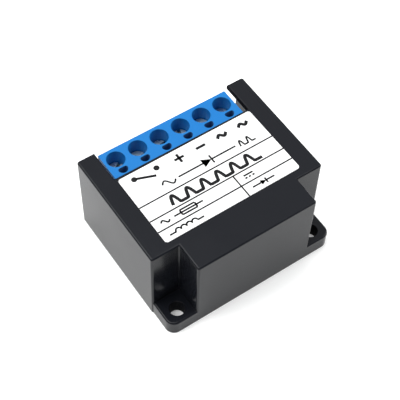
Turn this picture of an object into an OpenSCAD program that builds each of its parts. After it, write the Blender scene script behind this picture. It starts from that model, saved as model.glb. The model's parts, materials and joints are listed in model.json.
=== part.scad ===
// Potted rectifier module with a six-pole screw terminal, for panel or motor mounting.
// Millimetres. The base lies on Z = 0, the origin is the middle of the case in plan,
// the lugs point to -Y and the wires enter from +Y.

/* [Case] */
// Width of the case along the terminal row
case_w = 40; // [39:0.1:44]
// Depth of the case from the lugs to the wire side
case_d = 33.5; // [32.8:0.1:38]
// Height of the case without its label
case_h = 20.2; // [19.8:0.1:23]
// Thickness of the side, front and back walls
wall = 1.3; // [1:0.1:1.6]
// Thickness of the top
top_t = 1.2; // [1.1:0.1:1.8]
// Radius of the upright edges
corner_r = 0.5; // [0.3:0.1:0.8]
// Radius of the top edges
edge_r = 0.4; // [0.2:0.05:0.45]

/* [Lugs] */
// Width of the recess over each lug
notch_w = 6.2; // [5.9:0.1:7]
// Depth of the recess over each lug
notch_d = 6.35; // [6:0.05:7.2]
// Thickness of the lugs
lug_t = 3.75; // [3:0.05:4.6]
// Corner radius of the lugs in plan
lug_r = 2; // [1.5:0.1:2.8]
// Radius of the top edge of the lugs
lug_edge = 0.4; // [0.2:0.05:0.6]
// How far the lugs stand in from the sides of the case
lug_inset = 0.2; // [0:0.05:0.4]
// Diameter of the screw holes
hole_d = 3.2; // [3:0.1:3.6]
// Screw hole to the side of the case
hole_side = 3.5; // [3.2:0.05:3.8]
// Screw hole to the front of the case
hole_front = 2.9; // [2.7:0.05:3.4]

/* [Terminal bay] */
// Room in the mouth on each side of a centred terminal
mouth_clear = 0.75; // [0.6:0.05:1]
// Radius of the case's top edges along the sides of the mouth
mouth_edge = 0.25; // [0.2:0.05:0.7]
// Sideways place of the terminal in the mouth
block_shift = -0.4; // [-0.5:0.05:0.5]
// Thickness of the baffles and board stops
rib_t = 1.2; // [0.8:0.1:1.5]
// Clearance between moulded pieces
fit_clear = 0.2; // [0.1:0.05:0.3]

/* [Terminal body] */
// Distance from pole to pole
pitch = 5.08; // [5:0.01:5.2]
// Step from the case top down to the terminal top
block_drop = 0.3; // [0.1:0.05:0.6]
// Wire side of the terminal, in from the wire side of the case
block_inset = 0.85; // [0.5:0.05:1]
// How far the terminal's foot reaches under the case top
foot_d = 1.4; // [1.2:0.1:1.8]
// Diameter of the screw wells
well_d = 3.85; // [3.4:0.05:4.1]
// Screw axis to the wire side of the terminal
screw_y = 2.65; // [2.4:0.05:2.9]
// Wall between a screw well and its test hole
test_gap = 0.4; // [0.35:0.05:0.8]
// Width of the D-shaped test holes
test_w = 2.05; // [1.6:0.05:2.2]
// Length of the test holes from flat to round side
test_l = 1.4; // [1.1:0.05:1.5]
// Wall between the test holes and the front of the terminal's top
test_wall = 0.3; // [0.3:0.05:0.6]
// Width of the wire openings
entry_w = 3.2; // [2.6:0.1:3.6]
// How far the wire openings flare at the wire side
entry_flare = 0.3; // [0.15:0.05:0.35]

/* [Clamp screws] */
// Screw top below the terminal top
head_depth = 3.3; // [2.8:0.1:3.6]
// Clearance round the head in its well
head_clear = 0.125; // [0.1:0.025:0.2]
// Head height
head_h = 1.7; // [1.5:0.1:1.9]
// Chamfer round the top of the head
head_chamfer = 0.15; // [0.1:0.05:0.25]
// Width of the screwdriver slot
slot_w = 0.7; // [0.5:0.05:0.9]
// Depth of the screwdriver slot
slot_depth = 0.9; // [0.6:0.1:1.1]
// Shank diameter over the thread
shank_d = 2.9; // [2.5:0.1:3]
// Shank length under the head
shank_l = 3.7; // [3.6:0.1:3.9]
// Chamfer at the tip
tip_chamfer = 0.35; // [0.2:0.05:0.5]
// Radial running clearance of the thread
thread_clear = 0.05; // [0.03:0.01:0.08]

/* [Clamp cages] */
// Length of a cage along the wire
cage_l = 3.6; // [3.4:0.05:3.8]
// Thickness of the cage sides
cage_wall = 0.5; // [0.4:0.05:0.55]
// Thickness of the threaded cage top
cage_top = 1.3; // [1:0.1:1.4]
// Thickness of the cage floor
cage_floor = 0.7; // [0.5:0.1:0.8]
// Outer bend radius of the cage
cage_r = 0.5; // [0.3:0.05:0.5]
// Wire space under the current bar when the clamp is open
wire_gap = 2.1; // [2:0.05:2.2]
// Clearance round the cage in its pocket
cage_clear = 0.1; // [0.05:0.01:0.12]
// Clearance between an open cage and the board
sole_clear = 0.75; // [0.4:0.05:1.2]

/* [Contacts] */
// Thickness of the current bar and its leg
bar_t = 0.8; // [0.6:0.1:0.9]
// Clearance of the bar to the sides of the cage
bar_gap = 0.2; // [0.1:0.05:0.3]
// Wall in front of the contact's leg
leg_wall = 0.5; // [0.4:0.05:0.7]
// Width of the solder pin
pin_w = 1; // [0.8:0.1:1.2]
// Clearance between the bar and what moves past it
bar_clear = 0.05; // [0.02:0.01:0.08]

/* [Board] */
// Thickness of the board
board_t = 1.6; // [1:0.1:1.6]
// How far pins and leads stand out under the board
lead_out = 2; // [1.5:0.1:2.5]
// Radial clearance of the leads in their holes
lead_clear = 0.2; // [0.1:0.05:0.25]
// Resin surface above the base
resin_recess = 0.5; // [0.3:0.1:0.8]

/* [Diodes] */
// Body diameter
diode_d = 5.3; // [4.5:0.1:5.6]
// Body length
diode_l = 9; // [8:0.1:9.5]
// Lead diameter
diode_lead = 1.2; // [1:0.1:1.3]
// Bend radius of the leads
diode_bend = 1.5; // [1.2:0.1:1.8]
// Straight lead between the body and the bend
diode_stub = 1.2; // [0.8:0.1:1.4]

/* [Varistors] */
// Disc diameter
varistor_d = 9; // [8:0.1:9.4]
// Disc thickness
varistor_t = 4.4; // [3.6:0.1:4.6]
// Radius of the disc's rim
varistor_rim = 1.2; // [0.8:0.1:1.5]
// Lead diameter
varistor_lead = 0.8; // [0.6:0.1:0.9]
// Distance between the two leads
varistor_span = 5; // [4.5:0.1:5.5]
// Distance from disc to disc
varistor_pitch = 10.4; // [10:0.1:11]
// Disc above the board
varistor_lift = 1; // [0.6:0.1:1.2]

/* [Label] */
// Width of the label
label_w = 31.5; // [28:0.1:32]
// Depth of the label
label_d = 17.1; // [14:0.1:17.6]
// Thickness of the label
label_t = 0.15; // [0.1:0.05:0.2]
// Corner radius of the label
label_r = 0.6; // [0.4:0.1:1.2]
// Label to the mouth of the terminal bay
label_gap = 0.55; // [0.3:0.05:1]
// Sideways place of the label
label_shift = 0.1; // [-0.5:0.05:0.5]
// How far the label is stuck on askew, in degrees
label_turn = 0.3; // [-1:0.1:1]

/* [Hidden] */
$fn = 48;
poles = 6;
through = 1;

// Heights, worked down from the case top
ceiling = case_h - top_t;
block_top = case_h - block_drop;
head_top = block_top - head_depth;
head_seat = head_top - head_h;
tip_z = head_seat - shank_l;
bar_top = tip_z - bar_clear;
bar_under = bar_top - bar_t;
cage_roof = bar_top + bar_clear;
cage_sole = bar_under - wire_gap;
pocket_top = head_seat - fit_clear;
board_top = cage_sole - cage_floor - sole_clear;
board_z = board_top - board_t;
lead_end = board_z - lead_out;
sill_h = board_top - fit_clear;

// Places along Y, from the front of the case
block_back = case_d - block_inset;
screw_at = block_back - screw_y;
test_at = screw_at - well_d / 2 - test_gap;
block_front = test_at - test_l - test_wall;
foot_front = block_front - foot_d;
mouth_at = block_front - fit_clear;
slot_front = foot_front + leg_wall;
leg_front = slot_front + cage_clear;
leg_at = leg_front + bar_t / 2;
label_at = mouth_at - label_gap - label_d / 2;

// Two rows of diodes and one of varistors, evenly spaced between the front wall and the terminal
row_gap = (foot_front - wall - 2 * diode_d - varistor_t) / 4;
diode_rows = [
    wall + row_gap + diode_d / 2,
    wall + 2 * row_gap + 1.5 * diode_d
];
varistor_y = foot_front - row_gap - varistor_t / 2;

// Places along X, from the left side of the case
middle = case_w / 2;
block_w = poles * pitch;
block_x = (case_w - block_w) / 2 + block_shift;
mouth_w = block_w + 2 * mouth_clear;
diode_reach = diode_l / 2 + diode_stub + diode_bend;

// Widths that follow from a fit
head_d = well_d - 2 * head_clear;
screw_bore = shank_d + 2 * thread_clear;
cage_w = screw_bore + 2 * cage_wall;
bar_w = screw_bore - 2 * bar_gap;

// Slot angle of each screw as it was left
slot_turns = [35, -50, 10, 70, -20, -65];

function pole_x(i) = block_x + (i + 0.5) * pitch;
function varistor_x(i) = middle + (i - 1) * varistor_pitch;

// Moves what is placed from the front left corner of the base to the middle of the case
module from_corner() {
    translate([-case_w / 2, -case_d / 2, 0]) children();
}

// Section through a wall's outer strip, with its top edge rounded
module edge_section(h, r, e) {
    square([r, h - e]);
    square([r - e, h]);
    intersection() {
        translate([r - e, h - e]) circle(e);
        square([r, h]);
    }
}

// Block with rounded upright edges and rounded top edges, its corner at the origin
module rounded_block(w, d, h, r, e) {
    corners = [[w - r, d - r], [r, d - r], [r, r], [w - r, r]];
    translate([r, r, 0]) cube([w - 2 * r, d - 2 * r, h]);
    for (i = [0:3]) {
        side = (i % 2 == 0 ? d : w) - 2 * r;
        translate(corners[i]) rotate(90 * i) {
            rotate_extrude() edge_section(h, r, e);
            rotate([90, 0, 0]) linear_extrude(side) {
                edge_section(h, r, e);
                translate([-r, 0]) square([2 * r - e, h]);
            }
        }
    }
}

// Inside of the hood in plan, drawn in by a clearance
module hood_plan(clear) {
    inset = wall + clear;
    translate([inset, notch_d + inset]) square([case_w - 2 * inset, case_d - notch_d - 2 * inset]);
    translate([notch_w + inset, inset]) square([case_w - 2 * (notch_w + inset), notch_d + wall]);
}

// Both screw holes in the lugs
module lug_holes() {
    for (x = [hole_side, case_w - hole_side])
        translate([x, hole_front, -through]) cylinder(d = hole_d, h = lug_t + 2 * through);
}

// Section of the mouth across the case, its sides rounded over into the case top
module mouth_section() {
    translate([-mouth_w / 2, ceiling - through]) square([mouth_w, top_t + 2 * through]);
    difference() {
        translate([-mouth_w / 2 - mouth_edge, case_h - mouth_edge])
            square([mouth_w + 2 * mouth_edge, mouth_edge + through]);
        for (side = [-1, 1]) translate([side * (mouth_w / 2 + mouth_edge), case_h - mouth_edge])
            circle(mouth_edge);
    }
}

// Mouth for the terminal in the top and the opening in the back wall below it
module bay_openings() {
    translate([middle, case_d + through, 0]) rotate([90, 0, 0])
        linear_extrude(case_d - mouth_at + through) mouth_section();
    translate([wall, case_d - 2 * wall, sill_h])
        cube([case_w - 2 * wall, 2 * wall + through, ceiling - sill_h]);
}

// Baffles that close the room under the ears on both sides of the terminal and stop the board
module baffles() {
    block_end = block_x + block_w;
    sunk = wall / 2;
    rise = ceiling - board_top + top_t / 2;
    translate([sunk, foot_front, board_top]) cube([block_x - fit_clear - sunk, rib_t, rise]);
    translate([block_end + fit_clear, foot_front, board_top])
        cube([case_w - sunk - block_end - fit_clear, rib_t, rise]);
}

// Posts in the front corners of the hood that stop the board
module board_stops() {
    sunk = wall / 2;
    post = rib_t + sunk;
    rise = ceiling - board_top + top_t / 2;
    for (x = [notch_w + sunk, case_w - notch_w - sunk - post])
        translate([x, sunk, board_top]) cube([post, post, rise]);
}

module housing() {
    color([0.16, 0.16, 0.17]) from_corner() {
        difference() {
            union() {
                translate([0, notch_d, 0])
                    rounded_block(case_w, case_d - notch_d, case_h, corner_r, edge_r);
                translate([notch_w, 0, 0])
                    rounded_block(case_w - 2 * notch_w, 2 * notch_d, case_h, corner_r, edge_r);
                translate([lug_inset, 0, 0])
                    rounded_block(case_w - 2 * lug_inset, 2 * notch_d, lug_t, lug_r, lug_edge);
            }
            translate([0, 0, -through]) linear_extrude(ceiling + through) hood_plan(0);
            bay_openings();
            lug_holes();
        }
        baffles();
        board_stops();
    }
}

// Rectangle with round corners, in the middle of the plane
module rounded_plate(w, d, r) {
    square([w - 2 * r, d], center = true);
    square([w, d - 2 * r], center = true);
    for (x = [r - w / 2, w / 2 - r], y = [r - d / 2, d / 2 - r]) translate([x, y]) circle(r);
}

module label() {
    color("white") from_corner() translate([middle + label_shift, label_at, case_h])
        rotate(label_turn) linear_extrude(label_t) rounded_plate(label_w, label_d, label_r);
}

// D-shaped outline with its flat on the X axis
module test_outline() {
    intersection() {
        translate([0, test_w / 2 - test_l]) circle(d = test_w);
        translate([-test_w, -2 * test_l]) square([2 * test_w, 2 * test_l]);
    }
}

// Section of a flare that widens towards the wire side, from one side of an opening to the other
module flare_section(from, to) {
    polygon([
        [from, block_back - entry_flare], [to, block_back - entry_flare],
        [to + 2 * entry_flare, block_back + entry_flare], [from - 2 * entry_flare, block_back + entry_flare]
    ]);
}

// Flare of a wire opening between its sill and its top, on all four sides
module wire_funnel(sill, top) {
    reach = entry_w + 4 * entry_flare;
    intersection() {
        translate([0, 0, sill - 2 * entry_flare]) linear_extrude(top - sill + 4 * entry_flare)
            flare_section(-entry_w / 2, entry_w / 2);
        translate([reach / 2, 0, 0]) rotate([0, -90, 0]) linear_extrude(reach)
            flare_section(sill, top);
    }
}

// Everything that is open in one pole of the terminal, with the pole's middle at X = 0
module pole_openings() {
    pocket_w = cage_w + 2 * cage_clear;
    pocket_l = cage_l + 2 * cage_clear;
    slot = bar_w + 2 * cage_clear;
    below = board_top - through;
    entry_top = bar_top + cage_floor;
    entry_sill = cage_sole - cage_floor;
    translate([0, screw_at, pocket_top - through])
        cylinder(d = well_d, h = block_top - pocket_top + 2 * through);
    translate([-pocket_w / 2, screw_at - pocket_l / 2, below])
        cube([pocket_w, pocket_l, pocket_top - below]);
    translate([-slot / 2, slot_front, below])
        cube([slot, screw_at - slot_front, bar_top + cage_clear - below]);
    translate([-entry_w / 2, screw_at, entry_sill])
        cube([entry_w, screw_y + through, entry_top - entry_sill]);
    wire_funnel(entry_sill, entry_top);
    translate([0, test_at, bar_top])
        linear_extrude(block_top - bar_top + through) test_outline();
}

module terminal_body() {
    shoulder = ceiling - fit_clear;
    color([0.2, 0.55, 0.88]) from_corner() difference() {
        translate([block_x, 0, 0]) rotate([90, 0, 90]) linear_extrude(block_w)
            polygon([
                [foot_front, board_top], [block_back, board_top], [block_back, block_top],
                [block_front, block_top], [block_front, shoulder], [foot_front, shoulder]
            ]);
        for (i = [0:poles - 1]) translate([pole_x(i), 0, 0]) pole_openings();
    }
}

// Captive slotted screw of pole i, its tip on the current bar
module clamp_screw(i) {
    head_r = head_d / 2;
    shank_r = shank_d / 2;
    color([0.72, 0.72, 0.7]) from_corner() translate([pole_x(i), screw_at, 0]) difference() {
        rotate_extrude() polygon([
            [0, tip_z], [shank_r - tip_chamfer, tip_z], [shank_r, tip_z + tip_chamfer],
            [shank_r, head_seat], [head_r, head_seat], [head_r, head_top - head_chamfer],
            [head_r - head_chamfer, head_top], [0, head_top]
        ]);
        rotate(slot_turns[i]) translate([-head_d, -slot_w / 2, head_top - slot_depth])
            cube([2 * head_d, slot_w, slot_depth + through]);
    }
}

// Cage of pole i, drawn open: its roof rests on the current bar, and the screw passes its window
module clamp_cage(i) {
    cage_h = cage_roof - cage_sole + cage_top + cage_floor;
    color([0.78, 0.76, 0.7]) from_corner() translate([pole_x(i), screw_at, 0]) difference() {
        translate([0, cage_l / 2, cage_sole - cage_floor + cage_h / 2]) rotate([90, 0, 0])
            linear_extrude(cage_l) rounded_plate(cage_w, cage_h, cage_r);
        translate([-screw_bore / 2, -cage_l, cage_sole])
            cube([screw_bore, 2 * cage_l, cage_roof - cage_sole]);
        translate([0, 0, cage_roof - through / 2]) cylinder(d = screw_bore, h = cage_top + through);
    }
}

// Contact of pole i: current bar, leg and solder pin, bent and stamped from one strip
module contact(i) {
    bar_end = screw_at + cage_l / 2;
    color([0.85, 0.84, 0.8]) from_corner() translate([pole_x(i), 0, 0]) {
        translate([-bar_w / 2, 0, 0]) rotate([90, 0, 90]) linear_extrude(bar_w)
            polygon([
                [leg_front, board_top], [leg_front + bar_t, board_top], [leg_front + bar_t, bar_under],
                [bar_end, bar_under], [bar_end, bar_top], [leg_front, bar_top]
            ]);
        translate([-pin_w / 2, leg_front, lead_end])
            cube([pin_w, bar_t, board_top + bar_t - lead_end]);
    }
}

// Drill holes for every pin and lead, from below the lead ends up through the board
module drill_holes() {
    pin_hole = norm([pin_w, bar_t]) + 2 * lead_clear;
    diode_hole = diode_lead + 2 * lead_clear;
    varistor_hole = varistor_lead + 2 * lead_clear;
    bottom = lead_end - lead_clear;
    depth = board_top - bottom + through;
    for (i = [0:poles - 1])
        translate([pole_x(i), leg_at, bottom]) cylinder(d = pin_hole, h = depth);
    for (y = diode_rows, side = [-1, 1])
        translate([middle + side * diode_reach, y, bottom]) cylinder(d = diode_hole, h = depth);
    for (i = [0:2], side = [-1, 1])
        translate([varistor_x(i) + side * varistor_span / 2, varistor_y, bottom])
            cylinder(d = varistor_hole, h = depth);
}

module circuit_board() {
    color([0.13, 0.42, 0.22]) from_corner() difference() {
        translate([0, 0, board_z]) linear_extrude(board_t) hood_plan(fit_clear);
        drill_holes();
    }
}

// Potting resin that fills the hood from the board down
module potting() {
    color([0.1, 0.1, 0.11]) from_corner() difference() {
        translate([0, 0, resin_recess]) linear_extrude(board_z - resin_recess) hood_plan(0);
        drill_holes();
    }
}

// Half of a diode's wire: out of the body, round the bend and down through the board
module diode_wire(axis_z) {
    drop = axis_z - diode_bend - lead_end;
    rotate([0, 90, 0]) cylinder(d = diode_lead, h = diode_reach - diode_bend);
    translate([diode_reach - diode_bend, 0, -diode_bend]) rotate([90, 0, 0])
        rotate_extrude(angle = 90) translate([diode_bend, 0]) circle(d = diode_lead);
    translate([diode_reach, 0, -diode_bend - drop]) cylinder(d = diode_lead, h = drop);
}

// Axial diode of row i, lying over the board
module axial_diode(i) {
    axis_z = board_top + fit_clear + diode_d / 2;
    color([0.14, 0.14, 0.15]) from_corner() translate([middle, diode_rows[i], axis_z]) {
        translate([-diode_l / 2, 0, 0]) rotate([0, 90, 0]) cylinder(d = diode_d, h = diode_l);
        diode_wire(axis_z);
        mirror([1, 0, 0]) diode_wire(axis_z);
    }
}

// Disc varistor i of the row, standing on its two leads
module disc_varistor(i) {
    axis_z = board_top + varistor_lift + varistor_d / 2;
    color([0.16, 0.3, 0.62]) from_corner() translate([varistor_x(i), varistor_y, 0]) {
        translate([0, varistor_t / 2, axis_z]) rotate([90, 0, 0]) rotate_extrude() intersection() {
            translate([0, varistor_t / 2]) rounded_plate(varistor_d, varistor_t, varistor_rim);
            square([varistor_d / 2, varistor_t]);
        }
        for (side = [-1, 1]) translate([side * varistor_span / 2, 0, lead_end])
            cylinder(d = varistor_lead, h = axis_z - lead_end);
    }
}

housing();
label();
terminal_body();
for (i = [0:poles - 1]) {
    clamp_screw(i);
    clamp_cage(i);
    contact(i);
}
circuit_board();
axial_diode(0);  // series_diode
axial_diode(1);  // freewheel_diode
disc_varistor(2);  // input_varistor
disc_varistor(0);  // switch_varistor
disc_varistor(1);  // output_varistor
potting();
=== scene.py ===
import json
import math

import bpy
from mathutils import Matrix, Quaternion, Vector


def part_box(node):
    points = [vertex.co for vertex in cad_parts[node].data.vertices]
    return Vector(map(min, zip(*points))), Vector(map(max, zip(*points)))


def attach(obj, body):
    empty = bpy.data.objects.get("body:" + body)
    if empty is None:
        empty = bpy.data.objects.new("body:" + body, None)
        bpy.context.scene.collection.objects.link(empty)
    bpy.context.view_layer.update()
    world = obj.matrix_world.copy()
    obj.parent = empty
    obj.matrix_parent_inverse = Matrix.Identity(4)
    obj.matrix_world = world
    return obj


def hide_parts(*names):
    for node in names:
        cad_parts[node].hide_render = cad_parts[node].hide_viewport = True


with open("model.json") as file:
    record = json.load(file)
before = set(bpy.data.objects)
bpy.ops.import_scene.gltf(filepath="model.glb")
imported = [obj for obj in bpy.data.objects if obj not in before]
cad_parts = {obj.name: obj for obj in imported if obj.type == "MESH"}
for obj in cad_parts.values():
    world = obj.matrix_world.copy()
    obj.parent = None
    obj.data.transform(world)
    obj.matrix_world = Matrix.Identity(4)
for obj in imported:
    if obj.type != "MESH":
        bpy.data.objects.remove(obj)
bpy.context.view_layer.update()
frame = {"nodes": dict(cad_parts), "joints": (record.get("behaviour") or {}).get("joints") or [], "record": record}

# Pieces are modelled in millimetres and brought to the frame's metres when they are finished.
MM = 0.001
POLES = range(1, 7)

# How near a point has to be to a face or an edge to lie on it
NEAR = 0.01
# A face is upright below the first rise of its normal, and level above the second
UPRIGHT = 0.5
LEVEL = 0.9
# Points of a mesh nearer than this are one point, and faces that turn less than this are one face
WELD = 0.0005
FLAT_TURN = math.radians(0.5)


def span(node):
    """Lowest and highest corner of a CAD node in millimetres."""
    return [Vector(corner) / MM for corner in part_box(node)]


def mount(name):
    """A mount of the part, by its name."""
    return next(m for m in frame["record"]["mounts"] if m["name"] == name)


def pole_axes():
    """Place of each pole's screw axis in plan, by pole number."""
    places = {j["child"]: j["pos_m"] for j in frame["joints"] if j["type"] == "hinge"}
    return {i: (places[f"screw_{i}"][0] / MM, places[f"screw_{i}"][1] / MM) for i in POLES}


AXES = pole_axes()
block_low, block_high = span("terminal_body")

# Case: the recesses over the lugs, the lug holes and the mouth round the terminal
case_low, case_high = span("housing")
lug_holes = mount("lug_holes")
WALL = 1.3
TOP_T = 1.2
CEILING = case_high.z - TOP_T
CASE_EDGE = 0.08
NOTCH_W = 6.2
NOTCH_D = 6.35
NOTCH_X = case_high.x - NOTCH_W
NOTCH_Y = case_low.y + NOTCH_D
NOTCH_FILLET = 0.25
# The fillet in the corner of a recess runs out this far into the round of the top
NOTCH_RUNOUT = 0.05
HOLE_X = lug_holes["dims"]["spacing_x_mm"] / 2
HOLE_Y = lug_holes["pos_m"][1] / MM
HOLE_R = lug_holes["dims"]["hole_r_mm"]
MOUTH_CLEAR = 0.75
MOUTH_X = (block_high.x - block_low.x) / 2 + MOUTH_CLEAR
MOUTH_EDGE = 0.25

# Terminal: the D-shaped test holes, each with a flat beside its well and an arc about its own middle
TERMINAL_EDGE = 0.06
WELL_R = 1.925
TEST_GAP = 0.4
TEST_L = 1.4
TEST_R = 1.025
TEST_FLAT_Y = AXES[1][1] - WELL_R - TEST_GAP
TEST_Y = TEST_FLAT_Y - (TEST_L - TEST_R)
TEST_CORNER_R = 0.45
TEST_CUTS = 7

# Clamp screws, with the axis of each pole at the origin and the turns of their slots in degrees
screw_low, screw_high = span("clamp_screw_1")
HEAD_R = (screw_high.x - screw_low.x) / 2
HEAD_H = 1.7
HEAD_TOP = screw_high.z
HEAD_SEAT = HEAD_TOP - HEAD_H
HEAD_CHAMFER = 0.15
SLOT_W = 0.7
SLOT_DEPTH = 0.9
SLOT_FLOOR = HEAD_TOP - SLOT_DEPTH
SLOT_TURNS = (35, -50, 10, 70, -20, -65)
SHANK_R = 1.45
SHANK_IN_HEAD = 0.2
TIP_Z = screw_low.z
TIP_CHAMFER = 0.35
THREAD_PITCH = 0.5
THREAD_DEPTH = 0.25
THREAD_FLANK = 1.35
THREAD_RINGS = 52
THREAD_RUNOUT = 0.35

# Clamp cages, with the axis of each pole at the origin
cage_low, cage_high = span("clamp_cage_1")
CAGE_HALF_W = (cage_high.x - cage_low.x) / 2
CAGE_HALF_L = (cage_high.y - cage_low.y) / 2
CAGE_R = 0.5
CAGE_EDGE = 0.05
CAGE_FLOOR = 0.7
CAGE_TOP = 1.3
WINDOW_R = 1.5
WINDOW_LOW = cage_low.z + CAGE_FLOOR
WINDOW_HIGH = cage_high.z - CAGE_TOP
GRIP_R = 0.16
GRIPS_Y = (-1.2, -0.4, 0.4, 1.2)

# Cutting tools reach this far past what they cut
PAST = 0.5

# Resin in the hood: it creeps up the walls and in from them, in steps that rise less as they widen
resin_low, resin_high = span("potting")
CREEP_UP = 0.25
CREEP_IN = 0.7
CREEP_STEPS = (0.12, 0.22, 0.32, 0.34)
CREEP_RISE = 0.46

# Label and its print, in the label's own plan
label_low, label_high = span("label")
LABEL_MIDDLE = ((label_low.x + label_high.x) / 2, (label_low.y + label_high.y) / 2, label_high.z)
LABEL_TURN = math.radians(0.3)
LABEL_HALF_W = 15.75
LABEL_HALF_D = 8.55
INK_T = 0.015
FINE_STROKE = 0.38

# Signs beside the terminals: a switch with its two dots, plus, minus and two alternating signs
SIGN_Y = 6.45
DOT_LEFT = (-12.95, 6.95)
DOT_LEFT_R = 0.6
DOT_RIGHT = (-7.8, 6.92)
DOT_RIGHT_R = 0.62
LEVER = ((-12.6, 6.9), (-8.78, 5.42))
LEVER_STROKE = 0.56
SIGN_ARM = 1.1
PLUS_X = -2.78
SIGN_STROKE = 0.55
MINUS_X = 2.34
MINUS_STROKE = 0.6
WAVES_X = (7.46, 12.57)
WAVE_L = 2.44
WAVE_H = 0.34
WAVE_EXTRA = 0.17
WAVE_STROKE = 0.69

# Row of symbols from alternating through a diode to rectified, and the rectified trace under it
SYMBOL_Y = 2.75
SUPPLY_X = -7.6
DIODE_ENDS = (-5.4, 8.2)
DIODE_HALF = 1.05
RECTIFIED_X = 10.9
RECTIFIED_L = 3.6
RECTIFIED_H = 1.4
TRACE_AT = (0.6, -2.25)
TRACE_L = 21
TRACE_H = 2.1
TRACE_STROKE = 0.7

# Table with two rows of small symbols, its rules and its divider
RULES_Y = (0.73, -2.99, -5.85)
DIVIDER_X = 3.47
RULE_STROKE = 0.32
UPPER_Y = -4.42
LOWER_Y = -7.25
SMALL_WAVE_X = -13.2
FUSE_LEADS = (-11.2, -4.6)
FUSE_ENDS = (-9.6, -6.2)
FUSE_HALF = 0.6
COIL_AT = (-14.2, -7.5)
COIL_LEAD = 1.4
COIL_TURNS = 4
COIL_R = 0.62
DIRECT_ENDS = (5.2, 7.4)
DIRECT_UP = 0.3
DIRECT_DOWN = 0.35
DASHES_X = (5.2, 6.05, 6.9)
DASH_L = 0.5
SMALL_DIODE_ENDS = (5.2, 10.4)
SMALL_DIODE_HALF = 0.62

# Studio in metres: a name, a place, a size and a power in watts for each softbox
SOFTBOXES = (
    ("key_softbox", (-0.42, 0.28, 0.8), 0.7, 3.7),
    ("fill_softbox", (-0.35, 0.3, 1.3), 1.3, 19.2),
    ("back_softbox", (0.36, 0.49, 0.87), 1.0, 2.4),
    ("side_softbox", (0.72, -0.27, 0.6), 0.7, 6.4),
)
SKY_COLOR = (0.97, 0.985, 1.0, 1)
SKY_STRENGTH = 0.2
FLOOR_SIZE = 3
FLOOR_Z = -2e-5
FLOOR_GLOW = 0.17

# Camera, from the picture's perspective
CAMERA_AT = Vector((-71.517, -95.315, 186.409)) * MM
CAMERA_VIEW = Vector((0.33177, 0.45403, -0.82691))
CAMERA_ROLL = math.radians(2.304)
CAMERA_LENS = 94.396
CAMERA_SENSOR = 36
CAMERA_NEAR = 0.01


# Modelling


def only(piece):
    """Selects one piece alone and makes it active."""
    bpy.ops.object.select_all(action="DESELECT")
    piece.select_set(True)
    bpy.context.view_layer.objects.active = piece


def placed(name):
    """Names the primitive that was just added and puts its place in its mesh."""
    piece = bpy.context.active_object
    piece.name = name
    only(piece)
    bpy.ops.object.transform_apply(location=True, rotation=True, scale=True)
    return piece


def box(name, low, high):
    """Block between two corners."""
    size = [b - a for a, b in zip(low, high)]
    middle = [(a + b) / 2 for a, b in zip(low, high)]
    bpy.ops.object.select_all(action="DESELECT")
    bpy.ops.mesh.primitive_cube_add(size=1, location=middle, scale=size)
    return placed(name)


def rod(name, radius, start, end, sides):
    """Round bar from one point to another."""
    start, end = Vector(start), Vector(end)
    run = end - start
    turn = run.to_track_quat("Z", "Y").to_euler()
    bpy.ops.object.select_all(action="DESELECT")
    bpy.ops.mesh.primitive_cylinder_add(
        vertices=sides, radius=radius, depth=run.length, location=(start + end) / 2, rotation=turn
    )
    return placed(name)


def apply(piece, kind, **settings):
    """Adds a modifier to a piece, sets it up and applies it."""
    only(piece)
    modifier = piece.modifiers.new(kind.lower(), kind)
    for name, value in settings.items():
        setattr(modifier, name, value)
    bpy.ops.object.modifier_apply(modifier=modifier.name)


def cut(piece, *tools):
    """Cuts the tools out of a piece and removes them."""
    for tool in tools:
        apply(piece, "BOOLEAN", operation="DIFFERENCE", solver="EXACT", object=tool)
        bpy.data.objects.remove(tool)


def fuse(piece, other):
    """Makes one closed body of two pieces."""
    apply(piece, "BOOLEAN", operation="UNION", solver="EXACT", object=other)
    bpy.data.objects.remove(other)


def pick_edges(piece, wanted):
    """Goes into edit mode with only the edges selected whose two ends satisfy wanted(a, b)."""
    only(piece)
    bpy.ops.object.mode_set(mode="EDIT")
    bpy.ops.mesh.select_mode(type="EDGE")
    bpy.ops.mesh.select_all(action="DESELECT")
    bpy.ops.object.mode_set(mode="OBJECT")
    points = piece.data.vertices
    for edge in piece.data.edges:
        a, b = (points[i].co for i in edge.vertices)
        edge.select = wanted(a, b)
    bpy.ops.object.mode_set(mode="EDIT")


def bevel_edges(piece, wanted, width, segments):
    """Rounds or chamfers the wanted edges of a piece."""
    pick_edges(piece, wanted)
    bpy.ops.mesh.bevel(offset=width, segments=segments, affect="EDGES")
    bpy.ops.object.mode_set(mode="OBJECT")


def soften(piece, width, segments=2, sharper=38):
    """Rounds every sharp edge a little and shades the rounds smoothly between flat faces."""
    apply(
        piece, "BEVEL", width=width, segments=segments, limit_method="ANGLE",
        angle_limit=math.radians(sharper), use_clamp_overlap=False, miter_outer="MITER_ARC",
    )
    smooth(piece)


def smooth(piece, sharper=35):
    """Shades a piece smoothly between its sharp edges, its large faces flat."""
    only(piece)
    bpy.ops.object.shade_smooth_by_angle(angle=math.radians(sharper))
    apply(piece, "WEIGHTED_NORMAL", keep_sharp=True, weight=80)


def copy_of(piece, name):
    """Copy of a piece with its own mesh."""
    other = bpy.data.objects.new(name, piece.data.copy())
    bpy.context.scene.collection.objects.link(other)
    return other


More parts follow.
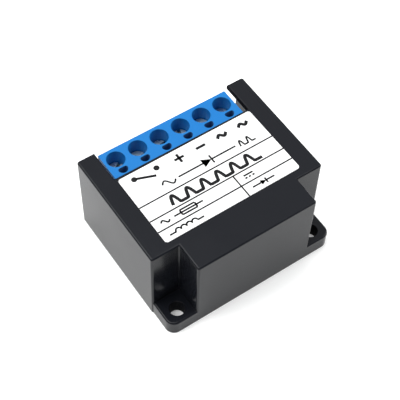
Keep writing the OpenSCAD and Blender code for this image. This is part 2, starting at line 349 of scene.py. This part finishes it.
def shell_of(node, name):
    """Copy of a CAD node's mesh in millimetres, with its loose triangles joined and flat faces whole."""
    piece = copy_of(frame["nodes"][node], name)
    only(piece)
    bpy.ops.mesh.customdata_custom_splitnormals_clear()
    piece.scale = (1 / MM, 1 / MM, 1 / MM)
    bpy.ops.object.transform_apply(location=True, rotation=True, scale=True)
    bpy.ops.object.mode_set(mode="EDIT")
    bpy.ops.mesh.select_all(action="SELECT")
    bpy.ops.mesh.remove_doubles(threshold=WELD)
    bpy.ops.mesh.dissolve_limited(angle_limit=FLAT_TURN)
    bpy.ops.object.mode_set(mode="OBJECT")
    return piece


def finish(piece, material, body, slot, *nodes):
    """Brings a piece to metres and gives it its material, its body and the nodes it stands for; the slot is not
    used.
    """
    only(piece)
    piece.scale = (MM, MM, MM)
    bpy.ops.object.transform_apply(location=True, rotation=True, scale=True)
    piece.data.materials.clear()
    piece.data.materials.append(material)
    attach(piece, body)
    if nodes:
        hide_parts(*nodes)


def refinish(piece, material, wanted):
    """Gives the faces of a finished piece that satisfy wanted(face) a second material."""
    piece.data.materials.append(material)
    for face in piece.data.polygons:
        if wanted(face):
            face.material_index = 1


# Materials


class Look:
    """A material under construction: its shader and the patterns that vary it."""

    def __init__(self, name, color, roughness, metallic=0.0):
        self.material = bpy.data.materials.new(name)
        self.material.use_nodes = True
        self.tree = self.material.node_tree
        self.shader = self.tree.nodes["Principled BSDF"]
        self.set("Base Color", (*color, 1))
        self.set("Roughness", roughness)
        self.set("Metallic", metallic)

    def set(self, socket, value):
        """Sets one of the shader's inputs."""
        self.shader.inputs[socket].default_value = value

    def add(self, kind, **inputs):
        """Adds a node with its inputs set, each named with underscores for spaces."""
        made = self.tree.nodes.new(kind)
        for name, value in inputs.items():
            made.inputs[name.replace("_", " ")].default_value = value
        return made

    def place(self, stretch=(1, 1, 1)):
        """Object coordinates, stretched."""
        mapping = self.add("ShaderNodeMapping", Scale=stretch)
        spot = self.add("ShaderNodeTexCoord")
        self.tree.links.new(spot.outputs["Object"], mapping.inputs["Vector"])
        return mapping.outputs["Vector"]

    def noise(self, scale, detail=2, stretch=(1, 1, 1)):
        """Soft noise, with this many waves to the metre."""
        made = self.add("ShaderNodeTexNoise", Scale=scale, Detail=detail)
        self.tree.links.new(self.place(stretch), made.inputs["Vector"])
        return made.outputs["Fac"]

    def cells(self, scale):
        """Distance from the middles of scattered cells, with this many to the metre."""
        made = self.add("ShaderNodeTexVoronoi", Scale=scale)
        self.tree.links.new(self.place(), made.inputs["Vector"])
        return made.outputs["Distance"]

    def spread(self, factor, low, high, start=0.0, end=1.0):
        """The factor from start to end as a value from low to high."""
        made = self.add(
            "ShaderNodeMapRange", From_Min=start, From_Max=end, To_Min=low, To_Max=high
        )
        self.tree.links.new(factor, made.inputs["Value"])
        return made.outputs["Result"]

    def blend(self, factor, first, second):
        """Colour from first to second by the factor."""
        made = self.tree.nodes.new("ShaderNodeMix")
        made.data_type = "RGBA"
        colour_a, colour_b = (s for s in made.inputs if s.name in "AB" and s.type == "RGBA")
        colour_a.default_value = (*first, 1)
        colour_b.default_value = (*second, 1)
        self.tree.links.new(factor, made.inputs["Factor"])
        return next(s for s in made.outputs if s.type == "RGBA")

    def drive(self, socket, source):
        """Lets a pattern drive one of the shader's inputs."""
        self.tree.links.new(source, self.shader.inputs[socket])

    def relief(self, *layers):
        """Fine relief from one or more (height, depth in metres) layers."""
        last = None
        for height, depth in layers:
            bump = self.add("ShaderNodeBump", Strength=1.0, Distance=depth)
            self.tree.links.new(height, bump.inputs["Height"])
            if last is not None:
                self.tree.links.new(last.outputs["Normal"], bump.inputs["Normal"])
            last = bump
        self.tree.links.new(last.outputs["Normal"], self.shader.inputs["Normal"])


def case_plastic():
    """Black moulded plastic with a satin skin that is glossier in patches and not quite flat."""
    look = Look("case_plastic", (0.0077, 0.0086, 0.0115), 0.18)
    look.set("Specular IOR Level", 0.153)
    mottle = look.noise(160, detail=3)
    look.drive("Roughness", look.spread(mottle, low=0.15, high=0.21, start=0.3, end=0.7))
    look.relief((look.noise(110, detail=1), 6e-6), (look.noise(5200), 1.5e-6))
    return look.material


def shaded_shutoff_plastic():
    """The case's plastic in its holes and openings, darker and less reflective than the rest as painted shade, and
    dull, with drag marks where mould parts slid apart.
    """
    # Base colour a little darker and reflection much weaker than the case plastic: painted shade
    look = Look("shaded_shutoff_plastic", (0.007, 0.0077, 0.0102), 0.7)
    look.set("Specular IOR Level", 0.04)
    drag = look.noise(900, stretch=(1, 1, 0.1))
    look.drive("Roughness", look.spread(drag, low=0.6, high=0.8, start=0.3, end=0.7))
    look.relief((drag, 4e-6))
    return look.material


def label_film():
    """White satin film."""
    look = Look("label_film", (0.8, 0.8, 0.8), 0.42)
    look.drive("Base Color", look.blend(look.noise(240), (0.79, 0.79, 0.79), (0.81, 0.81, 0.806)))
    look.relief((look.noise(7000), 1e-6))
    return look.material


def print_ink():
    """Black ink, a little uneven."""
    look = Look("print_ink", (0.006, 0.006, 0.007), 0.55)
    look.set("Specular IOR Level", 0.15)
    look.drive("Base Color", look.blend(look.noise(9000), (0.004, 0.004, 0.005), (0.01, 0.01, 0.011)))
    return look.material


def terminal_plastic():
    """Blue moulded plastic with faint flow marks."""
    look = Look("terminal_plastic", (0.005, 0.142, 0.42), 0.46)
    look.set("Specular IOR Level", 0.2)
    flow = look.noise(300, detail=3, stretch=(1, 1, 0.4))
    look.drive("Base Color", look.blend(flow, (0.0045, 0.136, 0.405), (0.0056, 0.148, 0.435)))
    look.drive("Roughness", look.spread(flow, low=0.42, high=0.52, start=0.3, end=0.7))
    look.relief((look.noise(4200), 2e-6))
    return look.material


def shaded_test_hole_plastic():
    """The terminal's plastic in its test holes: a darker, greyer copy of the blue that paints in the shade of the
    holes, also dull, with drag marks from the mould's core pins.
    """
    # Darker and greyer than the terminal plastic: painted shade in the test holes
    look = Look("shaded_test_hole_plastic", (0.036, 0.105, 0.27), 0.6)
    look.set("Specular IOR Level", 0.1)
    drag = look.noise(1100, stretch=(1, 1, 0.1))
    look.drive("Base Color", look.blend(drag, (0.032, 0.095, 0.25), (0.04, 0.115, 0.29)))
    look.relief((drag, 3e-6))
    return look.material


def metal(name, dull, bright, smoothest, roughest, scale, stretch=(1, 1, 1)):
    """Bare or plated metal with dull patches and fine working marks."""
    look = Look(name, bright, roughest, metallic=1.0)
    patches = look.noise(scale, detail=4)
    look.drive("Base Color", look.blend(patches, dull, bright))
    look.drive("Roughness", look.spread(patches, low=roughest, high=smoothest, start=0.35, end=0.65))
    look.relief((look.noise(5000, detail=3, stretch=stretch), 2e-6))
    return look.material


def potting_resin():
    """Black resin with a wavy skin and small blisters."""
    look = Look("potting_resin", (0.014, 0.014, 0.015), 0.22)
    look.drive("Roughness", look.spread(look.noise(260), low=0.16, high=0.34, start=0.35, end=0.7))
    look.relief((look.noise(140), 4e-5), (look.cells(700), 6e-6))
    return look.material


def board_laminate():
    """Green lacquer over a glass weave."""
    look = Look("board_laminate", (0.02, 0.16, 0.06), 0.4)
    weave = look.noise(2600, detail=1, stretch=(1, 0.15, 1))
    look.drive("Base Color", look.blend(weave, (0.016, 0.13, 0.05), (0.028, 0.19, 0.08)))
    look.relief((weave, 4e-6))
    return look.material


def diode_moulding():
    """Dull black moulding compound."""
    look = Look("diode_moulding", (0.018, 0.018, 0.018), 0.5)
    look.drive("Roughness", look.spread(look.noise(900, detail=3), low=0.42, high=0.6, start=0.3, end=0.7))
    look.relief((look.noise(4500), 3e-6))
    return look.material


def varistor_coating():
    """Dipped blue coating, thicker in places."""
    look = Look("varistor_coating", (0.02, 0.07, 0.32), 0.28)
    look.drive("Base Color", look.blend(look.noise(500), (0.016, 0.055, 0.27), (0.025, 0.085, 0.36)))
    look.relief((look.noise(420), 2.5e-5))
    return look.material


CASE = case_plastic()
SHADED_SHUTOFF = shaded_shutoff_plastic()
FILM = label_film()
INK = print_ink()
BLUE = terminal_plastic()
SHADED_BLUE = shaded_test_hole_plastic()
# The steel's blue-green tint is a painted reflection of the blue walls of the wells
SCREW = metal(
    "screw_steel", dull=(0.485, 0.625, 0.65), bright=(0.64, 0.79, 0.82),
    smoothest=0.22, roughest=0.36, scale=450,
)
# Darker copy of the screw steel for the slot faces: painted shade in the slot
SLOT = metal(
    "shaded_slot_steel", dull=(0.24, 0.3, 0.31), bright=(0.34, 0.41, 0.43),
    smoothest=0.4, roughest=0.55, scale=450,
)
CAGE = metal(
    "cage_steel", dull=(0.5, 0.48, 0.42), bright=(0.7, 0.68, 0.62),
    smoothest=0.26, roughest=0.4, scale=700, stretch=(1, 0.1, 1),
)
TINNED = metal(
    "contact_brass", dull=(0.55, 0.52, 0.43), bright=(0.76, 0.73, 0.65),
    smoothest=0.2, roughest=0.34, scale=600,
)
RESIN = potting_resin()
BOARD = board_laminate()
MOULDED = diode_moulding()
COATED = varistor_coating()


# Case and terminal


def case_shell():
    """The hood, filleted in the corners of its recesses, with a duller plastic in its lug holes and mouth that is
    painted darker there as shade.
    """
    piece = shell_of("housing", "case_shell")

    def in_notch_corner(point):
        return max(abs(abs(point.x) - NOTCH_X), abs(point.y - NOTCH_Y)) < NOTCH_RUNOUT

    def in_lug_hole(face):
        middle = face.center / MM
        off_axis = math.hypot(abs(middle.x) - HOLE_X, middle.y - HOLE_Y)
        return off_axis < HOLE_R + NEAR and abs(face.normal.z) < UPRIGHT

    def in_mouth_side(face):
        middle = face.center / MM
        across = abs(middle.x) - MOUTH_X
        at_side = -CASE_EDGE < across < MOUTH_EDGE and middle.y > 0
        return at_side and middle.z > CEILING and face.normal.z < LEVEL

    def along_corner(a, b):
        return in_notch_corner(a) and in_notch_corner(b)

    bevel_edges(piece, along_corner, NOTCH_FILLET, segments=3)
    soften(piece, CASE_EDGE)
    finish(piece, CASE, "module", "case_plastic", "housing")
    # Lug holes and mouth sides get the darker, duller plastic: painted shade
    refinish(piece, SHADED_SHUTOFF, lambda face: in_lug_hole(face) or in_mouth_side(face))


def terminal_moulding():
    """The blue block, its test holes rounded between their flat and their arc, and dull inside, with painted shade
    darkening them.
    """
    piece = shell_of("terminal_body", "terminal_moulding")
    round_y = TEST_FLAT_Y - TEST_CORNER_R
    round_x = math.sqrt((TEST_R - TEST_CORNER_R) ** 2 - (round_y - TEST_Y) ** 2)

    def along_flat(a, b):
        at_flat = max(abs(a.y - TEST_FLAT_Y), abs(b.y - TEST_FLAT_Y)) < NEAR
        return at_flat and abs(a.z - b.z) < NEAR and TEST_R < abs(a.x - b.x) < 2 * TEST_R

    def in_test_hole(face):
        middle = face.center / MM
        off_axis = min(math.hypot(middle.x - x, middle.y - TEST_Y) for x, _ in AXES.values())
        return off_axis < TEST_R + NEAR and abs(face.normal.z) < UPRIGHT

    pick_edges(piece, along_flat)
    bpy.ops.mesh.subdivide(number_cuts=TEST_CUTS)
    bpy.ops.object.mode_set(mode="OBJECT")
    for x, _ in AXES.values():
        for point in piece.data.vertices:
            in_hole = math.hypot(point.co.x - x, point.co.y - TEST_Y) < TEST_R + NEAR
            out_x = abs(point.co.x - x) - round_x
            out_y = point.co.y - round_y
            if in_hole and point.co.y < TEST_FLAT_Y + NEAR and out_x > 0 and out_y > 0:
                pull = TEST_CORNER_R / math.hypot(out_x, out_y)
                point.co.x = x + math.copysign(round_x + pull * out_x, point.co.x - x)
                point.co.y = round_y + pull * out_y
    soften(piece, TERMINAL_EDGE)
    finish(piece, BLUE, "module", "terminal_plastic", "terminal_body")
    # Test hole walls get the darker blue: painted shade
    refinish(piece, SHADED_BLUE, in_test_hole)


def resin_fill():
    """Resin in the hood, creeping up the walls at its free face."""
    nose_x = NOTCH_X - WALL
    wide = box("resin_fill", (resin_low.x, NOTCH_Y + WALL, resin_low.z), resin_high)
    nose = box("resin_nose", (-nose_x, resin_low.y, resin_low.z), (nose_x, 0, resin_high.z))
    fuse(wide, nose)
    only(wide)
    bpy.ops.object.mode_set(mode="EDIT")
    bpy.ops.mesh.select_mode(type="FACE")
    bpy.ops.mesh.select_all(action="SELECT")
    bpy.ops.mesh.dissolve_limited(angle_limit=FLAT_TURN)
    bpy.ops.mesh.select_all(action="DESELECT")
    bpy.ops.object.mode_set(mode="OBJECT")
    for face in wide.data.polygons:
        face.select = face.normal.z < -LEVEL
    bpy.ops.object.mode_set(mode="EDIT")
    bpy.ops.mesh.extrude_region_move(TRANSFORM_OT_translate={"value": (0, 0, -CREEP_UP)})
    for step in CREEP_STEPS:
        bpy.ops.mesh.inset(thickness=step * CREEP_IN, use_even_offset=True)
        bpy.ops.transform.translate(value=(0, 0, CREEP_UP * (CREEP_RISE - step)))
    bpy.ops.object.mode_set(mode="OBJECT")
    smooth(wide)
    finish(wide, RESIN, "module", "potting_resin", "potting")


# Clamps


def thread_radius(angle, z):
    """Radius of the shank's right-hand thread at an angle and a height."""
    phase = (z / THREAD_PITCH - angle / (2 * math.pi)) % 1
    groove = min(1.0, THREAD_FLANK * (1 - abs(2 * phase - 1)))
    fade = min(1.0, max(0.0, (HEAD_SEAT - z) / THREAD_RUNOUT))
    rim = SHANK_R - max(0.0, TIP_CHAMFER - (z - TIP_Z))
    return min(rim, SHANK_R - THREAD_DEPTH * groove * fade)


def slotted_screw():
    """One clamp screw on its axis, its slot along X."""
    head = rod("screw_head", HEAD_R, (0, 0, HEAD_SEAT), (0, 0, HEAD_TOP), sides=64)
    bevel_edges(head, lambda a, b: min(a.z, b.z) > HEAD_TOP - NEAR, HEAD_CHAMFER, segments=2)
    reach = HEAD_R + PAST
    slot = box("slot", (-reach, -SLOT_W / 2, SLOT_FLOOR), (reach, SLOT_W / 2, HEAD_TOP + PAST))
    cut(head, slot)
    shank = rod("screw_shank", SHANK_R, (0, 0, TIP_Z), (0, 0, HEAD_SEAT + SHANK_IN_HEAD), sides=36)
    pick_edges(shank, lambda a, b: abs(a.z - b.z) > SHANK_R)
    bpy.ops.mesh.subdivide(number_cuts=THREAD_RINGS)
    bpy.ops.object.mode_set(mode="OBJECT")
    for point in shank.data.vertices:
        if math.hypot(point.co.x, point.co.y) > NEAR:
            angle = math.atan2(point.co.y, point.co.x)
            radius = thread_radius(angle, point.co.z)
            point.co.x = radius * math.cos(angle)
            point.co.y = radius * math.sin(angle)
    fuse(head, shank)
    smooth(head)
    return head


def strip_cage():
    """One cage on its pole's axis, bent from strip, with a gripping floor."""
    cage = box(
        "cage", (-CAGE_HALF_W, -CAGE_HALF_L, cage_low.z), (CAGE_HALF_W, CAGE_HALF_L, cage_high.z)
    )
    bevel_edges(cage, lambda a, b: abs(a.y - b.y) > CAGE_HALF_L, CAGE_R, segments=5)
    reach = CAGE_HALF_L + PAST
    window = box("window", (-WINDOW_R, -reach, WINDOW_LOW), (WINDOW_R, reach, WINDOW_HIGH))
    bore = rod("bore", WINDOW_R, (0, 0, WINDOW_HIGH - PAST), (0, 0, cage_high.z + PAST), sides=48)
    grips = [
        rod("grip", GRIP_R, (-WINDOW_R, y, WINDOW_LOW), (WINDOW_R, y, WINDOW_LOW), sides=12)
        for y in GRIPS_Y
    ]
    cut(cage, window, bore, *grips)
    soften(cage, CAGE_EDGE)
    return cage


def clamps():
    """The six screws and cages, each with its own mesh, on their own bodies."""
    screw, cage = slotted_screw(), strip_cage()

    def in_slot(face):
        middle = face.center / MM
        off_axis = math.hypot(middle.x - x, middle.y - y)
        return off_axis < HEAD_R / 2 and SLOT_FLOOR - NEAR < middle.z < HEAD_TOP - NEAR

    for (i, (x, y)), turn in zip(AXES.items(), SLOT_TURNS):
        own_screw = copy_of(screw, f"slotted_screw_{i}")
        own_screw.rotation_euler.z = math.radians(turn)
        own_cage = copy_of(cage, f"strip_cage_{i}")
        for piece in (own_screw, own_cage):
            piece.location = (x, y, 0)
            only(piece)
            bpy.ops.object.transform_apply(location=True, rotation=True, scale=True)
        finish(own_screw, SCREW, f"screw_{i}", "screw_steel", f"clamp_screw_{i}")
        # Slot faces get the darker steel: painted shade
        refinish(own_screw, SLOT, in_slot)
        finish(own_cage, CAGE, f"cage_{i}", "cage_steel", f"clamp_cage_{i}")
    bpy.data.objects.remove(screw)
    bpy.data.objects.remove(cage)


# Print on the label


def stroke(points, width=FINE_STROKE):
    """Flat printed stroke along points of the label's plan."""
    last = len(points) - 1
    bpy.ops.object.select_all(action="DESELECT")
    bpy.ops.mesh.primitive_grid_add(x_subdivisions=last, y_subdivisions=1, size=1)
    piece = bpy.context.active_object
    for k, point in enumerate(points):
        before, after = Vector(points[max(k - 1, 0)]), Vector(points[min(k + 1, last)])
        run = (after - before).normalized()
        across = Vector((-run.y, run.x)) * width / 2
        for row, side in ((0, -1), (1, 1)):
            spot = Vector(point) + side * across
            piece.data.vertices[row * (last + 1) + k].co = (*spot, 0)
    return piece


def level_stroke(start, end, y, width=FINE_STROKE):
    """Stroke along a row of the label."""
    return stroke([(start, y), (end, y)], width)


def upright_stroke(x, start, end, width=FINE_STROKE):
    """Stroke across the rows of the label."""
    return stroke([(x, start), (x, end)], width)


def dot(middle, radius):
    """Printed dot in the label's plan."""
    bpy.ops.object.select_all(action="DESELECT")
    bpy.ops.mesh.primitive_circle_add(vertices=32, radius=radius, fill_type="NGON", location=(*middle, 0))
    return placed("dot")


def triangle(tip, base_x, half_h):
    """Filled printed triangle that points along the row."""
    bpy.ops.object.select_all(action="DESELECT")
    bpy.ops.mesh.primitive_circle_add(vertices=3, fill_type="NGON")
    piece = bpy.context.active_object
    corners = ((*tip, 0), (base_x, tip[1] - half_h, 0), (base_x, tip[1] + half_h, 0))
    for point, corner in zip(piece.data.vertices, corners):
        point.co = corner
    only(piece)
    bpy.ops.object.mode_set(mode="EDIT")
    bpy.ops.mesh.select_all(action="SELECT")
    bpy.ops.mesh.normals_make_consistent(inside=False)
    bpy.ops.object.mode_set(mode="OBJECT")
    return piece


def printed(name, *marks):
    """Joins marks to one printed sign on the label."""
    sign = marks[0]
    only(sign)
    if len(marks) > 1:
        for mark in marks:
            mark.select_set(True)
        bpy.ops.object.join()
    sign.name = name
    apply(sign, "SOLIDIFY", thickness=INK_T, offset=1)
    sign.location = LABEL_MIDDLE
    sign.rotation_euler.z = LABEL_TURN
    only(sign)
    bpy.ops.object.transform_apply(location=True, rotation=True, scale=True)
    finish(sign, INK, "module", "label_film")


def wave(middle, length, height, periods, extra=0.0, half=False, steps=24):
    """Points of an alternating wave, with an extra share of a period at both ends, or its upper halves."""
    points = []
    count = round(steps * (periods + 2 * extra))
    for k in range(count + 1):
        swing = math.sin(2 * math.pi * (k / steps - extra))
        x = middle[0] + length * (k / count - 0.5)
        points.append((x, middle[1] + height * (max(swing, 0.0) if half else swing)))
    return points


def coil(start, lead, turns, radius, steps=12):
    """Points of a coil symbol: a lead, a row of half circles and a lead."""
    points = [start]
    for k in range(turns):
        middle = start[0] + lead + (2 * k + 1) * radius
        for step in range(k > 0, steps + 1):
            angle = math.pi * (1 - step / steps)
            points.append((middle + radius * math.cos(angle), start[1] + radius * math.sin(angle)))
    points.append((start[0] + 2 * (lead + turns * radius), start[1]))
    return points


def diode_symbol(ends, y, half_h):
    """Marks of a diode symbol with its leads."""
    start, end = ends
    middle = (start + end) / 2
    return [
        level_stroke(start, middle - half_h, y),
        triangle((middle + half_h, y), middle - half_h, half_h),
        upright_stroke(middle + half_h, y - half_h, y + half_h),
        level_stroke(middle + half_h, end, y),
    ]


def fuse_symbol(leads, ends, y, half_h):
    """Marks of a fuse symbol: a box on its lead."""
    start, end = ends
    return [
        level_stroke(*leads, y),
        level_stroke(start, end, y - half_h),
        upright_stroke(end, y - half_h, y + half_h),
        level_stroke(end, start, y + half_h),
        upright_stroke(start, y + half_h, y - half_h),
    ]


def terminal_signs():
    """Signs beside the terminals."""
    printed(
        "print_switch",
        dot(DOT_LEFT, DOT_LEFT_R),
        stroke(LEVER, LEVER_STROKE),
        dot(DOT_RIGHT, DOT_RIGHT_R),
    )
    printed(
        "print_plus",
        level_stroke(PLUS_X - SIGN_ARM, PLUS_X + SIGN_ARM, SIGN_Y, SIGN_STROKE),
        upright_stroke(PLUS_X, SIGN_Y - SIGN_ARM, SIGN_Y + SIGN_ARM, SIGN_STROKE),
    )
    printed("print_minus", level_stroke(MINUS_X - SIGN_ARM, MINUS_X + SIGN_ARM, SIGN_Y, MINUS_STROKE))
    for k, x in enumerate(WAVES_X, 1):
        line = wave((x, SIGN_Y), WAVE_L, WAVE_H, periods=1, extra=WAVE_EXTRA)
        printed(f"print_alternating_{k}", stroke(line, WAVE_STROKE))


def circuit_symbols():
    """Row of symbols, the trace of a rectified wave, and the table under them."""
    rectified_at = (RECTIFIED_X, SYMBOL_Y - RECTIFIED_H / 2)
    printed(
        "print_symbols",
        stroke(wave((SUPPLY_X, SYMBOL_Y), length=3, height=0.7, periods=1)),
        *diode_symbol(DIODE_ENDS, SYMBOL_Y, DIODE_HALF),
        stroke(wave(rectified_at, RECTIFIED_L, RECTIFIED_H, periods=2, half=True)),
    )
    printed("print_trace", stroke(wave(TRACE_AT, TRACE_L, TRACE_H, periods=6, half=True), TRACE_STROKE))
    printed(
        "print_cells",
        stroke(wave((SMALL_WAVE_X, UPPER_Y), length=1.9, height=0.42, periods=1)),
        *fuse_symbol(FUSE_LEADS, FUSE_ENDS, UPPER_Y, FUSE_HALF),
        level_stroke(*DIRECT_ENDS, UPPER_Y + DIRECT_UP),
        *[level_stroke(x, x + DASH_L, UPPER_Y - DIRECT_DOWN) for x in DASHES_X],
        stroke(coil(COIL_AT, COIL_LEAD, COIL_TURNS, COIL_R)),
        *diode_symbol(SMALL_DIODE_ENDS, LOWER_Y, SMALL_DIODE_HALF),
    )
    printed(
        "print_rules",
        *[level_stroke(-LABEL_HALF_W, LABEL_HALF_W, y, RULE_STROKE) for y in RULES_Y],
        upright_stroke(DIVIDER_X, RULES_Y[1], -LABEL_HALF_D, RULE_STROKE),
    )


# Inside


def dress_node(node, material):
    """Gives a CAD node that stays in view its own finish."""
    slots = frame["nodes"][node].data.materials
    slots.clear()
    slots.append(material)


def inside():
    """Finishes of the label and of what the hood holds."""
    dress_node("label", FILM)
    dress_node("circuit_board", BOARD)
    for i in POLES:
        dress_node(f"contact_{i}", TINNED)
    for node in ("series_diode", "freewheel_diode"):
        dress_node(node, MOULDED)
    for node in ("input_varistor", "switch_varistor", "output_varistor"):
        dress_node(node, COATED)


# Studio


def floor():
    """White paper that glows a little, as overlit paper does."""
    bpy.ops.object.select_all(action="DESELECT")
    bpy.ops.mesh.primitive_plane_add(size=FLOOR_SIZE, location=(0, 0, FLOOR_Z))
    sheet = bpy.context.active_object
    sheet.name = "floor"
    paper = Look("floor_paper", (0.9, 0.905, 0.9), 0.9)
    paper.set("Emission Color", (1.0, 1.0, 1.0, 1))
    paper.set("Emission Strength", FLOOR_GLOW)
    sheet.data.materials.append(paper.material)


def lights():
    """Faint sky and softboxes that face the object."""
    world = bpy.data.worlds.new("studio")
    world.use_nodes = True
    sky = world.node_tree.nodes["Background"]
    sky.inputs["Color"].default_value = SKY_COLOR
    sky.inputs["Strength"].default_value = SKY_STRENGTH
    bpy.context.scene.world = world
    for name, spot, size, power in SOFTBOXES:
        bpy.ops.object.light_add(type="AREA", location=spot)
        lamp = bpy.context.active_object
        lamp.name = name
        lamp.data.size = size
        lamp.data.energy = power
        lamp.rotation_euler = (-Vector(spot)).to_track_quat("-Z", "Y").to_euler()


def camera():
    """Camera at the picture's place, rolled as the picture is."""
    data = bpy.data.cameras.new("camera")
    data.lens = CAMERA_LENS
    data.sensor_width = CAMERA_SENSOR
    data.clip_start = CAMERA_NEAR
    eye = bpy.data.objects.new("camera", data)
    eye.location = CAMERA_AT
    eye.rotation_mode = "QUATERNION"
    facing = CAMERA_VIEW.to_track_quat("-Z", "Y")
    eye.rotation_quaternion = facing @ Quaternion((0, 0, 1), CAMERA_ROLL)
    bpy.context.scene.collection.objects.link(eye)
    bpy.context.scene.camera = eye
    bpy.context.scene.view_settings.view_transform = "Standard"


case_shell()
terminal_moulding()
resin_fill()
clamps()
terminal_signs()
circuit_symbols()
inside()
floor()
lights()
camera()
